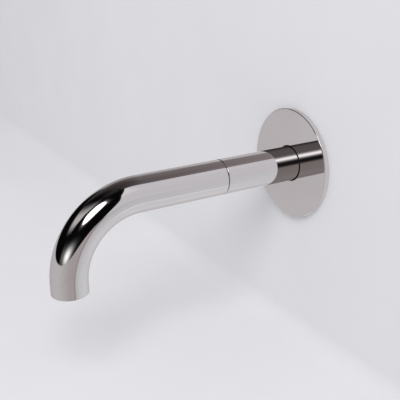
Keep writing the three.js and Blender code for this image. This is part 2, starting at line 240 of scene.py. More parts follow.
def mesh_object(name, points, faces, normals=None):
    """An object from points in millimetres. A corner whose normal is zero gets Blender's own."""
    mesh = bpy.data.meshes.new(name)
    mesh.from_pydata([tuple(point * MM) for point in points], [], faces)
    corners = len(mesh.loops)
    given = mesh.attributes.new("given_normal", "FLOAT_VECTOR", "CORNER")
    values = np.zeros((corners, 3)) if normals is None else np.array(normals)
    given.data.foreach_set("vector", values.ravel().astype(np.float32))
    return add_object(name, mesh)


def lathe_rings(rows, place, around, thread):
    """Each row of an outline turned round the axis: all the points, each row's point numbers and its frame.

    A row's frame is its spokes and its direction, or None where a thread is cut.
    """
    turns = np.arange(around) * 2 * math.pi / around
    points, rings, row_frames = [], [], []
    for (row_radius, along), _, _ in rows:
        centre, right, up, forward = place(along)
        spokes = np.outer(np.cos(turns), right) + np.outer(np.sin(turns), up)
        threaded = thread and thread.covers(row_radius, along)
        row_frames.append(None if threaded else (spokes, forward))
        if row_radius < SAME:
            rings.append([len(points)] * around)
            points.append(centre)
            continue
        radii = thread.radii(along, turns) if threaded else np.full(around, row_radius)
        rings.append(list(range(len(points), len(points) + around)))
        points.extend(centre + radii[:, None] * spokes)
    return points, rings, row_frames


def ring_normals(normal, row_frame, around):
    """An outline's normal turned round the axis. A threaded row's are left to Blender."""
    if row_frame is None:
        return np.zeros((around, 3))
    spokes, forward = row_frame
    return normal[0] * spokes + normal[1] * forward


def revolved(name, corners, place=on_axis, around=AROUND, spacing=None, thread=None):
    """A solid of revolution about a placed axis, with exact normals."""
    if thread:
        spacing = thread.pitch / ROWS_PER_THREAD
    rows = outline_rows(corners, spacing)
    points, rings, row_frames = lathe_rings(rows, place, around, thread)
    faces, normals = [], []
    for i in range(len(rows)):
        j = (i + 1) % len(rows)
        if rings[i][0] == rings[i][1] and rings[j][0] == rings[j][1]:
            continue
        near = ring_normals(rows[i][2], row_frames[i], around)
        far = ring_normals(rows[j][1], row_frames[j], around)
        for k in range(around):
            m = (k + 1) % around
            loop = [(rings[i][k], near[k]), (rings[i][m], near[m])]
            loop += [(rings[j][m], far[m]), (rings[j][k], far[k])]
            if rings[i][k] == rings[i][m]:
                del loop[1]
            elif rings[j][k] == rings[j][m]:
                del loop[3]
            faces.append([point for point, _ in loop])
            normals.extend(normal for _, normal in loop)
    return mesh_object(name, points, faces, normals)


def prisms(name, shapes, low, high, place=on_axis):
    """One object with a prism for each shape, a list of anticlockwise points across the placed axis."""
    points, faces = [], []
    for shape in shapes:
        first, count = len(points), len(shape)
        for level in (low, high):
            centre, right, up, _ = place(level)
            points.extend(centre + x * right + y * up for x, y in shape)
        faces.append([first + i for i in reversed(range(count))])
        faces.append([first + count + i for i in range(count)])
        for i in range(count):
            j = (i + 1) % count
            faces.append([first + i, first + j, first + count + j, first + count + i])
    return mesh_object(name, points, faces)


def arc(size, angles, centre=(0, 0)):
    return [(centre[0] + size * math.cos(a), centre[1] + size * math.sin(a)) for a in angles]


def polygon(sides, size, centre=(0, 0), turn=0.0):
    return arc(size, turn + np.arange(sides) * 2 * math.pi / sides, centre)


def hexagon(across_flats, centre=(0, 0), turn=0.0):
    return polygon(6, across_flats / math.sqrt(3), centre, turn)


def block(width, low, high, turn=0.0):
    """A rectangle that stands on the Y axis of the cross-section, turned about the centre."""
    corners = np.array([(-width / 2, low), (width / 2, low), (width / 2, high), (-width / 2, high)])
    sine, cosine = math.sin(turn), math.cos(turn)
    return [(x * cosine - y * sine, x * sine + y * cosine) for x, y in corners]


def cut(obj, *tools):
    """Takes tool solids out of an object. Its own corners keep the normals they were given."""
    for tool in tools:
        modifier = obj.modifiers.new("cut", "BOOLEAN")
        modifier.operation = "DIFFERENCE"
        modifier.solver = "EXACT"
        modifier.object = tool
    graph = bpy.context.evaluated_depsgraph_get()
    mesh = bpy.data.meshes.new_from_object(obj.evaluated_get(graph))
    obj.modifiers.clear()
    old = obj.data
    obj.data = mesh
    bpy.data.meshes.remove(old)
    for tool in tools:
        bpy.data.meshes.remove(tool.data)
    return obj


def shade(obj):
    """Smooth shading with the given normals, and sharp edges by angle elsewhere."""
    mesh = obj.data
    mesh.shade_smooth()
    mesh.set_sharp_from_angle(angle=SHARP)
    given = mesh.attributes["given_normal"]
    values = np.zeros(len(mesh.loops) * 3, np.float32)
    given.data.foreach_get("vector", values)
    mesh.attributes.remove(given)
    mesh.normals_split_custom_set(values.reshape(-1, 3).tolist())


def fit_out(obj, node):
    """The piece stands for a CAD node: it takes that node's body, slot and finish."""
    cad = frame["nodes"][node]
    slot = cad["slot_name"]
    obj.name = "smooth_" + node
    shade(obj)
    obj.data.materials.clear()
    obj.data.materials.append(finishes[slot])
    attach(obj, cad["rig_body"])
    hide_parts(node)


# ---- node trees


class Nodes:
    """Short calls that add shader nodes to a tree. Each returns the new node's output."""

    def __init__(self, tree):
        self.tree = tree
        self.tree.nodes.clear()

    def add(self, kind, *inputs, output=0, **settings):
        node = self.tree.nodes.new("ShaderNode" + kind)
        for key, value in settings.items():
            setattr(node, key, value)
        for socket, value in zip(node.inputs, inputs):
            self.put(socket, value)
        return node.outputs[output] if node.outputs else None

    def put(self, socket, value):
        if isinstance(value, bpy.types.NodeSocket):
            self.tree.links.new(value, socket)
        elif value is not None:
            socket.default_value = value

    def math(self, operation, *inputs):
        return self.add("Math", *inputs, operation=operation)

    def plus(self, first, second):
        return self.math("ADD", first, second)

    def minus(self, first, second):
        return self.math("SUBTRACT", first, second)

    def over(self, first, second):
        return self.math("DIVIDE", first, second)

    def product(self, first, *others):
        for other in others:
            first = self.math("MULTIPLY", first, other)
        return first

    def smooth(self, value, low, high, start=0.0, end=1.0):
        """From start below low to end above high, smoothly."""
        return self.add("MapRange", value, low, high, start, end, interpolation_type="SMOOTHSTEP")

    def linear(self, value, low, high, start=0.0, end=1.0):
        return self.add("MapRange", value, low, high, start, end)

    def mix(self, share, first, second, blend="MIX"):
        """A blend of two colours. A Mix node's colours are its inputs 6 and 7, and its output 2."""
        node = self.add("Mix", data_type="RGBA", blend_type=blend, output=2).node
        for index, value in ((0, share), (6, first), (7, second)):
            self.put(node.inputs[index], value)
        return node.outputs[2]

    def lighter(self, first, second):
        return self.mix(1.0, first, second, "ADD")

    def darker(self, first, share):
        return self.mix(1.0, first, share, "MULTIPLY")

    def ramp(self, value, stops):
        """A colour for each place on a scale, from a list of (place, colour) stops between 0 and 1."""
        output = self.add("ValToRGB", value)
        elements = output.node.color_ramp.elements
        while len(elements) < len(stops):
            elements.new(1.0)
        for element, (place, colour) in zip(elements, stops):
            element.position = place
            element.color = rgb(colour)
        return output

    def noise(self, vector, scale, detail=2.0, roughness=0.5):
        """Noise with so many waves (scale) to each unit of the vector."""
        return self.add("TexNoise", vector, None, scale, detail, roughness)

    def stretched(self, vector, factors):
        return self.add("VectorMath", vector, factors, operation="MULTIPLY")


def rgb(colour):
    """A grey or a colour as four channels."""
    if isinstance(colour, (int, float)):
        colour = (colour, colour, colour)
    return (*colour, 1.0)


# ---- finishes


def new_finish(name):
    material = bpy.data.materials.new(name)
    material.use_nodes = True
    nodes = Nodes(material.node_tree)
    place = nodes.add("TexCoord", output="Object")
    return material, nodes, place


def close_finish(nodes, colour, roughness, height, height_mm, metallic=0.0, specular=0.5, edge=(1, 1, 1)):
    """The shader, with its height map as bump. The last three are the same all over the surface."""
    bump = nodes.add("Bump", 1.0, height_mm * MM)
    nodes.put(bump.node.inputs["Height"], height)
    shader = nodes.add("BsdfPrincipled").node
    nodes.put(shader.inputs["Base Color"], colour)
    nodes.put(shader.inputs["Roughness"], roughness)
    nodes.put(shader.inputs["Normal"], bump)
    shader.inputs["Metallic"].default_value = metallic
    shader.inputs["Specular IOR Level"].default_value = specular
    shader.inputs["Specular Tint"].default_value = rgb(edge)
    nodes.add("OutputMaterial", shader.outputs[0])


def away_and_along(nodes, place):
    """How far a place is from the straight tube's axis, and where it is along it."""
    x, y, z = (nodes.add("SeparateXYZ", place, output=i) for i in range(3))
    return nodes.math("SQRT", nodes.plus(nodes.product(x, x), nodes.product(z, z))), y


def turned_place(nodes, place):
    """Coordinates that only change along the axis and away from it, so noise in them makes lathe rings."""
    away, along = away_and_along(nodes, place)
    return nodes.add("CombineXYZ", away, along, 0.0)


CHROME = (0.44, 0.402, 0.402)
CHROME_EDGE = (0.66, 0.63, 0.63)


def polished_chrome():
    """Mirror chrome: a broad unevenness of the polish, and hairlines round the tube that only blur gloss."""
    material, nodes, place = new_finish("Polished chrome")
    cloud = nodes.noise(place, 45.0, 3.0)
    hairlines = nodes.noise(nodes.stretched(turned_place(nodes, place), (900, 2600, 1)), 1.0, 3.0, 0.7)
    fine = nodes.noise(place, 900.0, 2.0)
    dark, light = (tuple(share * channel for channel in CHROME) for share in (0.98, 1.02))
    colour = nodes.mix(cloud, rgb(dark), rgb(light))
    polish = nodes.linear(cloud, 0.3, 0.7, 0.02, 0.045)
    blur = nodes.plus(polish, nodes.linear(hairlines, 0.55, 0.8, 0, 0.03))
    height = nodes.plus(cloud, nodes.product(fine, 0.004))
    close_finish(nodes, colour, blur, height, height_mm=0.012, metallic=1.0, edge=CHROME_EDGE)
    return material


def machined_brass():
    """Turned brass: lathe rings, and a tarnish that gathers in patches."""
    material, nodes, place = new_finish("Machined brass")
    rings = nodes.noise(nodes.stretched(turned_place(nodes, place), (3500, 3500, 1)), 1.0, 3.0, 0.6)
    patches = nodes.noise(place, 160.0, 4.0, 0.6)
    tarnish = nodes.smooth(patches, 0.42, 0.68)
    colour = nodes.mix(tarnish, rgb((0.74, 0.53, 0.22)), rgb((0.50, 0.32, 0.12)))
    colour = nodes.mix(nodes.product(rings, 0.25), colour, rgb((0.85, 0.66, 0.34)))
    blur = nodes.plus(nodes.linear(rings, 0.3, 0.7, 0.18, 0.32), nodes.product(tarnish, 0.12))
    close_finish(nodes, colour, blur, rings, height_mm=0.02, metallic=1.0)
    return material


def stainless_steel():
    """Bright machined steel with a fine grain."""
    material, nodes, place = new_finish("Stainless steel")
    grain = nodes.noise(nodes.stretched(place, (6000, 900, 6000)), 1.0, 3.0, 0.6)
    stain = nodes.noise(place, 300.0, 3.0)
    colour = nodes.mix(stain, rgb((0.52, 0.53, 0.54)), rgb((0.63, 0.63, 0.62)))
    blur = nodes.linear(grain, 0.3, 0.7, 0.2, 0.36)
    close_finish(nodes, colour, blur, grain, height_mm=0.006, metallic=1.0)
    return material


def black_rubber():
    """Moulded rubber: a fine matt skin with grey bloom in places."""
    material, nodes, place = new_finish("Black rubber")
    skin = nodes.noise(place, 4200.0, 3.0, 0.6)
    bloom = nodes.smooth(nodes.noise(place, 220.0, 3.0), 0.5, 0.75)
    colour = nodes.mix(bloom, rgb((0.012, 0.012, 0.013)), rgb((0.030, 0.030, 0.031)))
    blur = nodes.linear(skin, 0.3, 0.7, 0.5, 0.72)
    close_finish(nodes, colour, blur, skin, height_mm=0.02, specular=0.4)
    return material


def foam_rubber():
    """Closed-cell foam: small pores in a matt grey, darkened in their hollows as painted shade."""
    material, nodes, place = new_finish("Foam rubber")
    cells = nodes.add("TexVoronoi", place, None, 1400.0)
    pores = nodes.smooth(cells, 0.15, 0.55)
    mottle = nodes.noise(place, 260.0, 3.0)
    body = nodes.mix(mottle, rgb((0.045, 0.045, 0.048)), rgb((0.075, 0.075, 0.079)))
    # Painted shade: the pores' hollows, which the bump sinks, are coloured near black.
    colour = nodes.mix(pores, rgb((0.016, 0.016, 0.018)), body)
    blur = nodes.linear(pores, 0, 1, 0.98, 0.85)
    close_finish(nodes, colour, blur, pores, height_mm=0.15, specular=0.25)
    return material


def acetal(name, dark, light):
    """Moulded satin plastic with a faint flow mottle."""
    material, nodes, place = new_finish(name)
    flow = nodes.noise(nodes.stretched(place, (1, 1.6, 0.7)), 320.0, 4.0, 0.6)
    texture = nodes.noise(place, 5200.0, 2.0)
    colour = nodes.mix(nodes.smooth(flow, 0.35, 0.65), rgb(dark), rgb(light))
    blur = nodes.linear(texture, 0.3, 0.7, 0.3, 0.42)
    close_finish(nodes, colour, blur, texture, height_mm=0.008, specular=0.45)
    return material


finishes = {
    "polished_chrome": polished_chrome(),
    "machined_brass": machined_brass(),
    "stainless_steel": stainless_steel(),
    "black_rubber": black_rubber(),
    "foam_rubber": foam_rubber(),
    "white_acetal": acetal("White acetal", (0.74, 0.73, 0.69), (0.82, 0.81, 0.78)),
    "dark_acetal": acetal("Dark acetal", (0.016, 0.016, 0.018), (0.028, 0.028, 0.031)),
}
for cad_node in frame["nodes"].values():
    cad_node["slot_name"] = cad_node.data.materials[0].name

# ---- wall side

# The bore and hexagon key of the nipple and of the spigot, and their grooves for O-rings.
WATERWAY = 6
HEX_KEY = 13
HEX_DEPTH = 6
RING_GROOVE = 2.6
RING_BOTTOM = 7.3

# How much closer each of the two tubes comes to the seam's middle than in CAD.
SEAM_LIP = 0.15


def middle(node):
    start, end = run(node)
    return (start + end) / 2


def ring_groove(surface, bottom, ring, width=RING_GROOVE):
    """The corners of a square groove in an outer surface, where a ring's CAD node lies."""
    low, high, fillet = middle(ring) - width / 2, middle(ring) + width / 2, 0.1
    return [(surface, low, fillet), (bottom, low, fillet), (bottom, high, fillet), (surface, high, fillet)]


def wall_nipple():
    """The brass inlet: a G 1/2 thread, a stop collar, a clamp groove and a shank with two ring grooves."""
    start, end = run("wall_nipple")
    collar = radius("wall_nipple")
    crest, root, pitch = 20.955 / 2, 18.631 / 2, 1.814
    lead_in = crest - root
    thread_end, collar_back, shank = -4.5, -2.5, 9
    clamp, clamp_depth, clamp_mouth, clamp_floor = middle("sleeve_grub_screw"), 1, 1.75, 0.75
    chamfer = 0.8
    corners = [
        (WATERWAY, start, 0.4),
        (root - 0.2, start, 0.1),
        (crest, start + lead_in + 0.2, 0.1),
        (crest, thread_end, 0.1),
        (root, thread_end + chamfer, 0.2),
        (root, collar_back, 0.3),
        (collar, collar_back, 0.3),
        (collar, 0, 0.3),
        (shank, 0, 0.3),
        (shank, clamp - clamp_mouth, 0.1),
        (shank - clamp_depth, clamp - clamp_floor, 0.1),
        (shank - clamp_depth, clamp + clamp_floor, 0.1),
        (shank, clamp + clamp_mouth, 0.1),
        *ring_groove(shank, RING_BOTTOM, "nipple_o_ring_rear"),
        *ring_groove(shank, RING_BOTTOM, "nipple_o_ring_front"),
        (shank, end - chamfer, 0.2),
        (shank - chamfer, end, 0.2),
        (WATERWAY, end, 0.2),
    ]
    thread = Thread(crest, root, pitch, start + lead_in, thread_end)
    body = revolved("wall_nipple", corners, thread=thread, around=COARSE)
    fit_out(cut(body, hexagon_key(end)), "wall_nipple")


def hexagon_key(end):
    """The solid that cuts the socket for a fitter's key, past the front end of a brass piece."""
    return prisms("key", [hexagon(HEX_KEY)], end - HEX_DEPTH, end + PAST)


def flat_ring(node, inner, fillet, around=COARSE, inset=0.0):
    """A washer or gasket in its CAD node's box, or thinner by an inset on each side, with rounded edges."""
    start, end = run(node)
    outline = ring_outline(inner, radius(node), start + inset, end - inset, fillet)
    return revolved(node, outline, around=around)


def o_ring(node):
    """A round rubber section that is a little flattened where it is squeezed."""
    section, rounding = 0.85, 0.8
    outer, at = radius(node), middle(node)
    outline = ring_outline(outer - 2 * section, outer, at - section, at + section, rounding)
    fit_out(revolved(node, outline, around=COARSE), node)


def screw_hole(name, along, size, start, countersink):
    """A drill from below the tube up to a start height, widening where it meets the surface."""
    depth = TUBE_R - start
    mouth, clear = size + countersink, depth + 3 * PAST
    corners = [(0, 0), (size, 0), (size, depth - countersink), (mouth, depth), (mouth, clear), (0, clear)]
    return revolved(name, corners, under_tube(along, -start), COARSE)


def rear_sleeve():
    """The straight chrome tube between the wall and the seam."""
    start, end = run("rear_sleeve")
    end += SEAM_LIP
    outer = radius("rear_sleeve")
    shank_bore, ledge_bore, front_bore = 9.15, 8, 9.6
    ledge_start, ledge_end, lead_in = 38, 50, 0.4
    corners = [
        (shank_bore + lead_in, start, 0.1),
        (outer, start, 0.3),
        (outer, end, 0.5),
        (front_bore, end, 0.12),
        (front_bore, ledge_end, 0.1),
        (ledge_bore, ledge_end, 0.1),
        (ledge_bore, ledge_start, 0.1),
        (shank_bore, ledge_start, 0.1),
        (shank_bore, start + lead_in, 0.1),
    ]
    at = middle("sleeve_grub_screw")
    hole = screw_hole("grub_hole", at, size=2.5, start=8.5, countersink=0.3)
    fit_out(cut(revolved("rear_sleeve", corners), hole), "rear_sleeve")


def grub_screw(node, tip, size, key):
    """A threaded screw under the tube, from the outline of its tip, with a hexagon socket below."""
    bottom, top = reach(node, Z)
    length = top - bottom
    thread_start, thread_depth, pitch = tip[-1][1], 0.3, 0.7
    corners = [*tip, (size, length, 0.3), (0, length)]
    thread = Thread(size, size - thread_depth, pitch, thread_start + 0.05, length - 0.3)
    place = under_tube(middle(node), top)
    screw = revolved(node, corners, place, COARSE, thread=thread)
    socket = prisms("socket", [hexagon(key)], length / 2, length + PAST, place)
    fit_out(cut(screw, socket), node)


def sleeve_grub_screw():
    """The screw whose cone clamps the sleeve in the nipple's groove."""
    size, point, cone_end, key = 2.4, 0.7, 1.5, 2.5
    grub_screw("sleeve_grub_screw", [(0, 0), (point, 0, 0.1), (size, cone_end, 0.1)], size, key)


def locking_screw():
    """The screw whose point runs in the spigot's slot."""
    size, point, point_end, cone_end, key = 1.95, 1.3, 1.4, 1.6, 2
    tip = [(0, 0), (point, 0, 0.15), (point, point_end, 0.1), (size, cone_end, 0.1)]
    grub_screw("locking_screw", tip, size, key)


def swivel_spigot():
    """The brass spigot: a threaded tail, a shoulder at the seam, and a journal with rings and glides."""
    start, end = run("swivel_spigot")
    shoulder = radius("swivel_spigot")
    tail, tail_groove, journal = 9.4, 7.7, 8.95
    shoulder_start, shoulder_end = 63.9, 65.4
    glide_bottom, glide_width = 8.4, 3.5
    corners = [
        (WATERWAY, start, 0.3),
        (tail, start, 0.4),
        *ring_groove(tail, tail_groove, "spigot_tail_o_ring"),
        (tail, shoulder_start, 0.1),
        (shoulder, shoulder_start, 0.15),
        (shoulder, shoulder_end, 0.15),
        (journal, shoulder_end, 0.1),
        *ring_groove(journal, glide_bottom, "glide_ring_rear", glide_width),
        *ring_groove(journal, RING_BOTTOM, "spigot_o_ring_rear"),
        *ring_groove(journal, RING_BOTTOM, "spigot_o_ring_front"),
        *ring_groove(journal, glide_bottom, "glide_ring_front", glide_width),
        (journal, end, 0.4),
        (WATERWAY, end, 0.2),
    ]
    thread_depth, pitch, thread_start, thread_end = 0.5, 1.0, 55.5, 62.5
    thread = Thread(tail, tail - thread_depth, pitch, thread_start, thread_end)
    body = revolved("swivel_spigot", corners, thread=thread, around=COARSE)
    fit_out(cut(body, hexagon_key(end), locking_slot(journal)), "swivel_spigot")


def locking_slot(journal):
    """The arc slot under the spigot that the locking screw's point runs in."""
    bottom, half_width, point, spare = 7.6, 1.6, 1.3, math.radians(1.5)
    clear, at = journal + PAST, middle("locking_screw")
    swivel = next(joint for joint in frame["joints"] if joint["name"] == "spout_swivel")
    turn = math.radians(swivel["range_deg"][1])
    half = turn + spare + math.asin(point / bottom)
    angles = -math.pi / 2 + np.linspace(-half, half, 33)
    shape = arc(clear, angles) + arc(bottom, angles)[::-1]
    return prisms("slot", [shape], at - half_width, at + half_width)


def glide_ring(node):
    """A bearing ring with a slit, so that it can be sprung into its groove."""
    ring = flat_ring(node, inner=8.5, fillet=0.15)
    start, end = run(node)
    slit = prisms("slit", [block(width=0.8, low=7, high=11)], start - PAST, end + PAST)
    fit_out(cut(ring, slit), node)


# ---- flange


def wall_flange():
    """The thin polished disc, recessed behind for its gasket and stepped round the bore for its seal."""
    back, face = run("wall_flange")
    rim = radius("wall_flange")
    bore, seat, lip_back = TUBE_R + 0.75, TUBE_R + 1.7, face - 1
    recess_inner, recess_outer, recess = 16.6, 38, 2
    corners = [
        (seat, back, 0.15),
        (recess_inner, back, 0.15),
        (recess_inner, recess, 0.2),
        (recess_outer, recess, 0.2),
        (recess_outer, back, 0.15),
        (rim, back, 0.2),
        (rim, face, 0.5),
        (bore, face, 0.12),
        (bore, lip_back, 0.08),
        (seat, lip_back, 0.08),
    ]
    fit_out(revolved("wall_flange", corners), "wall_flange")


def flange_seal():
    """The rubber ring whose narrow lip shows as a black line round the tube."""
    proud = 0.15
    back, front = run("flange_seal")
    front += proud
    inner, outer, lip = TUBE_R + 0.15, radius("flange_seal"), TUBE_R + 0.7
    shoulder = 2.85
    corners = [
        (inner, back, 0.15),
        (outer, back, 0.15),
        (outer, shoulder, 0.15),
        (lip, shoulder, 0.08),
        (lip, front, 0.1),
        (inner, front, 0.2),
    ]
    fit_out(revolved("flange_seal", corners), "flange_seal")


# ---- front tube


def spout_tube():
    """The swivelling tube: straight, a quarter bend and a short drop to the outlet."""
    start = run("spout_tube")[0] - SEAM_LIP
    corners = [(BORE, start, 0.12), (TUBE_R, start, 0.15), (TUBE_R, TUBE_END, 0.4), (BORE, TUBE_END, 0.3)]
    tube = revolved("spout_tube", corners, spacing=TUBE_ROWS)
    hole = screw_hole("locking_hole", middle("locking_screw"), size=2.2, start=9.2, countersink=0.2)
    fit_out(cut(tube, hole), "spout_tube")


def spout_hub():
    """The brass bush brazed into the tube, which turns on the spigot."""
    start, end = run("spout_hub")
    outer, bore, chamfer = radius("spout_hub"), 9.2, 1
    corners = [
        (bore, start, 0.3),
        (outer, start, 0.3),
        (outer, end - chamfer, 0.2),
        (outer - chamfer, end, 0.2),
        (bore, end, 0.2),
    ]
    hole = screw_hole("hub_hole", middle("locking_screw"), size=2.05, start=7.95, countersink=0.0)
    fit_out(cut(revolved("spout_hub", corners, around=COARSE), hole), "spout_hub")


# ---- outlet

# The pitch and depth of the outlet's thread.
AERATOR_PITCH = 1.0
AERATOR_THREAD = 0.45


def outlet_insert():
    """The threaded ring in the outlet, chromed with the tube."""
    low, high = heights("outlet_insert")
    outer, bore, ledge_bore = radius("outlet_insert"), 9.3, 7.8
    step, ledge, chamfer = 7.2, 9, 0.4
    corners = [
        (bore + chamfer, low, 0.1),
        (outer, low, 0.15),
        (outer, step, 0.3),
        (outer - chamfer, step + chamfer, 0.2),
        (outer - chamfer, high, 0.2),
        (ledge_bore, high, 0.1),
        (ledge_bore, ledge, 0.1),
        (bore, ledge, 0.1),
        (bore, low + chamfer, 0.1),
    ]
    thread = Thread(bore, bore + AERATOR_THREAD, AERATOR_PITCH, low + 0.6, ledge - 0.5)
    fit_out(revolved("outlet_insert", corners, in_outlet, thread=thread), "outlet_insert")


def aerator_seal():
    """The flat rubber ring between the aerator and the insert's ledge."""
    low, high = heights("aerator_seal")
    outline = ring_outline(7.9, radius("aerator_seal"), low, high, fillet=0.2)
    fit_out(revolved("aerator_seal", outline, in_outlet, COARSE), "aerator_seal")


def aerator_housing():
    """The screwed cage: a lip that holds the plates, a thread outside and four slots for the key."""
    low, high = heights("aerator_housing")
    outer, bore, lip, lip_top = radius("aerator_housing"), 7.6, 6.9, 2.1
    corners = [
        (lip, low, 0.25),
        (outer, low, 0.4),
        (outer, high, 0.3),
        (bore, high, 0.1),
        (bore, lip_top, 0.1),
        (lip, lip_top, 0.1),
    ]
    thread = Thread(outer, outer - AERATOR_THREAD, AERATOR_PITCH, low + 1.3, high - 0.5)
    cage = revolved("aerator_housing", corners, in_outlet, thread=thread)
    slot_width, slot_floor, slot_depth = 2.2, outer - 0.95, 1.1
    turns = [math.pi / 4 + quarter * math.pi / 2 for quarter in range(4)]
    slots = [block(slot_width, slot_floor, outer + PAST, turn) for turn in turns]
    key = prisms("key_slots", slots, low - PAST, low + slot_depth, in_outlet)
    fit_out(cut(cage, key), "aerator_housing")


def plate(node):
    """A full disc in its CAD node's box, with its rim rounded."""
    low, high = heights(node)
    outer, fillet = radius(node), 0.15
    corners = [(0, low), (outer, low, fillet), (outer, high, fillet), (0, high)]
    return revolved(node, corners, in_outlet, COARSE)


def finish_drilled(body, node, shapes):
    """Cuts the shapes right through a disc in the outlet, and fits it out."""
    low, high = heights(node)
    holes = prisms("holes", shapes, low - PAST, high + PAST, in_outlet)
    fit_out(cut(body, holes), node)


def outlet_grid():
    """The honeycomb that straightens the stream: fine hexagonal cells in a solid rim."""
    pitch, across, inside = 1.7, 1.42, 6.5
    span = math.ceil(inside / pitch) + 2
    cells = []
    for row in range(-span, span + 1):
        for column in range(-span, span + 1):
            x = pitch * (column + 0.5 * (row % 2))
            y = pitch * row * math.sqrt(3) / 2
            if math.hypot(x, y) < inside - across / 2:
                cells.append(hexagon(across, (x, y), math.pi / 6))
    finish_drilled(plate("outlet_grid"), "outlet_grid", cells)


def ring_holes(rings, size, sides=16):
    """Round holes on circles, from a list of (count, circle radius)."""
    return [polygon(sides, size, centre) for count, circle in rings for centre in polygon(count, circle)]


def mixer_ring():
    """The disc with wide holes that lets air into the stream."""
    finish_drilled(plate("mixer_ring"), "mixer_ring", ring_holes([(12, 5.9), (6, 3.2)], size=0.95))


def jet_plate():
    """A thin plate of fine jets with a raised rim."""
    low, high = heights("jet_plate")
    outer, rim, floor = radius("jet_plate"), 6.5, 0.6
    corners = [
        (0, low),
        (outer, low, 0.15),
        (outer, high, 0.15),
        (rim, high, 0.15),
        (rim, low + floor, 0.15),
        (0, low + floor),
    ]
    body = revolved("jet_plate", corners, in_outlet, COARSE)
    finish_drilled(body, "jet_plate", ring_holes([(14, 5.6), (7, 3.4)], size=0.5))


def dome_sieve():
    """A woven dirt sieve: two crossing sets of wires pressed into a dome, in a flat rim."""
    low, high = heights("dome_sieve")
    outer, dome_r, rim_height, wire, mesh_pitch = radius("dome_sieve"), 6.6, 0.4, 0.11, 0.62
    inner, rim_top = dome_r - 0.4, low + rim_height
    rim = [(inner, low), (outer, low, 0.1), (outer, rim_top, 0.1), (inner, rim_top)]
    parts = [revolved("sieve_rim", rim, in_outlet, COARSE)]
    rise = high - low - rim_height - 2.2 * wire
    count = int(dome_r / mesh_pitch)
    for lane in range(-count, count + 1):
        offset = lane * mesh_pitch
        half = math.sqrt(max(dome_r**2 - offset**2, 0)) - 0.1
        for across in (False, True):
            path = []
            for t in np.linspace(-half, half, 41):
                x, y = (t, offset) if across else (offset, t)
                weave = wire * math.cos(math.pi * t / mesh_pitch) * (-1) ** lane * (1 if across else -1)
                height = rise * math.sqrt(max(1 - (x * x + y * y) / dome_r**2, 0))
                path.append((x, y, low + rim_height / 2 + wire + height + weave))
            parts.append(wire_along(path, wire))
    fit_out(joined(parts), "dome_sieve")


def wire_along(path, size, sides=6):
    """A thin wire through points given as x, y and height in the outlet."""
    points, faces = [], []
    path = np.array(path)
    for i, (x, y, height) in enumerate(path):
        ahead = unit(path[min(i + 1, len(path) - 1)] - path[max(i - 1, 0)])
        right = unit(np.cross(ahead, Z if abs(ahead[2]) < 0.9 else X))
        up = np.cross(right, ahead)
        centre = in_outlet(height)[0] + x * X + y * Y
        points.extend(centre + dx * right + dy * up for dx, dy in polygon(sides, size))
    last = (len(path) - 1) * sides
    faces.append(list(range(sides)))
    faces.append([last + k for k in reversed(range(sides))])
    for i in range(len(path) - 1):
        for k in range(sides):
            m = (k + 1) % sides
            faces.append([i * sides + m, i * sides + k, (i + 1) * sides + k, (i + 1) * sides + m])
    return mesh_object("wire", points, faces)


def joined(parts):
    """One object from several."""
    points, faces, normals = [], [], []
    for part in parts:
        first = len(points)
        points.extend(np.array(vertex.co) / MM for vertex in part.data.vertices)
        faces.extend([first + v for v in face.vertices] for face in part.data.polygons)
        normals.extend(tuple(value.vector) for value in part.data.attributes["given_normal"].data)
        bpy.data.meshes.remove(part.data)
    return mesh_object("joined", points, faces, normals)


# ---- assembly

O_RINGS = "nipple_o_ring_rear", "nipple_o_ring_front"
O_RINGS += "spigot_tail_o_ring", "spigot_o_ring_rear", "spigot_o_ring_front"

wall_nipple()
for o_ring_node in O_RINGS:
    o_ring(o_ring_node)
fit_out(flat_ring("nipple_gasket", inner=10.73, fillet=0.25), "nipple_gasket")
rear_sleeve()
sleeve_grub_screw()
swivel_spigot()
glide_ring("glide_ring_rear")
glide_ring("glide_ring_front")
fit_out(flat_ring("seam_washer", inner=10.8, fillet=0.06, around=AROUND, inset=SEAM_LIP), "seam_washer")
wall_flange()
flange_seal()
fit_out(flat_ring("flange_gasket", inner=16.9, fillet=0.35, around=AROUND), "flange_gasket")
spout_tube()
spout_hub()
locking_screw()
outlet_insert()
aerator_seal()
aerator_housing()
outlet_grid()
mixer_ring()
jet_plate()
dome_sieve()

# ---- surroundings


# What the studio shows, as light per channel.
LIT_WALL = (1.14, 1.19, 1.24)
LIT_WALL_ABOVE = (1.39, 1.46, 1.52)
CEILING = (0.062, 0.059, 0.059)
WINDOW_PANE = (6.7, 7.2, 7.3)
WINDOW_NEAR_WALL = (4.3, 4.9, 5.0)
HORIZON_GLOW = (2.4, 2.6, 2.55)

# The wall side above the light's edge, from the horizon at 0 to straight up at 1.
WALL_GREYS = [
    (0.00, (1.20, 1.25, 1.29)),
    (0.12, (1.16, 1.19, 1.22)),
    (0.33, (0.88, 0.85, 0.86)),
    (0.55, (0.53, 0.49, 0.50)),
    (0.63, (0.41, 0.37, 0.38)),
    (0.70, (0.25, 0.225, 0.23)),
    (0.76, (0.17, 0.15, 0.155)),
    (0.90, (0.09, 0.08, 0.08)),
    (1.00, (0.065, 0.06, 0.06)),
]

